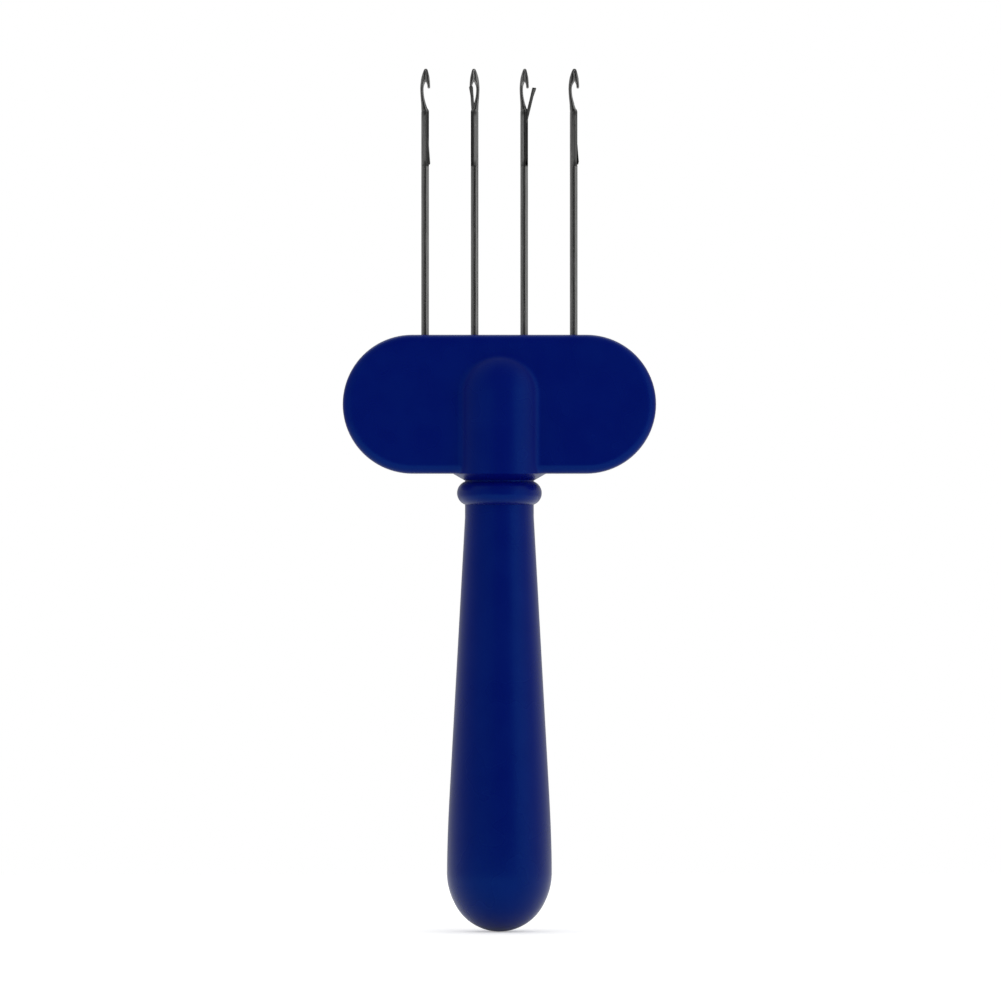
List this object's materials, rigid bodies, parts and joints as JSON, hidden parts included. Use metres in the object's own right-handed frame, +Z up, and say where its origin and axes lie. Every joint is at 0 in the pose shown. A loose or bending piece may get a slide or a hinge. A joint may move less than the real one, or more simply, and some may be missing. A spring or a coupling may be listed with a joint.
{
  "type": "latch hook tool",
  "caption": "Hand tool with a turned handle and a flat head that carries a row of steel latch needles; each needle's small latch swings to open or close its hook.",
  "frame": {"origin": "lowest point of the handle's butt, on the handle's axis", "axes": "+Z up the handle's axis towards the hooks, X along the row of needles, the head's front face looks along -Y"},
  "size_m": [0.06, 0.02, 0.1655],
  "materials": {
    "blue_plastic": "satin",
    "needle_steel": "polished",
    "latch_steel": "polished"
  },
  "bodies": {
    "tool": {"handle": "blue_plastic", "head": "blue_plastic", "needle_1": "needle_steel", "needle_2": "needle_steel", "needle_3": "needle_steel", "needle_4": "needle_steel", "rivet_1": "needle_steel", "rivet_2": "needle_steel", "rivet_3": "needle_steel", "rivet_4": "needle_steel"},
    "latch_1_body": {"latch_1": "latch_steel"},
    "latch_2_body": {"latch_2": "latch_steel"},
    "latch_3_body": {"latch_3": "latch_steel"},
    "latch_4_body": {"latch_4": "latch_steel"}
  },
  "joints": [
    {"name": "latch_1_swing", "type": "hinge", "parent": "tool", "child": "latch_1_body", "pos_m": [-0.01411, -0.00006, 0.1546], "axis": [0.4226, 0.9063, 0], "range_deg": [-171.1, 0]},
    {"name": "latch_2_swing", "type": "hinge", "parent": "tool", "child": "latch_2_body", "pos_m": [-0.00489, -0.00006, 0.1546], "axis": [0.4226, -0.9063, 0], "range_deg": [0, 171.1]},
    {"name": "latch_3_swing", "type": "hinge", "parent": "tool", "child": "latch_3_body", "pos_m": [0.00487, -0.00009, 0.1546], "axis": [0.5878, 0.809, 0], "range_deg": [-12.8, 158.3]},
    {"name": "latch_4_swing", "type": "hinge", "parent": "tool", "child": "latch_4_body", "pos_m": [0.0144, 0, 0.1546], "axis": [0, 1, 0], "range_deg": [-171.1, 0]}
  ]
}
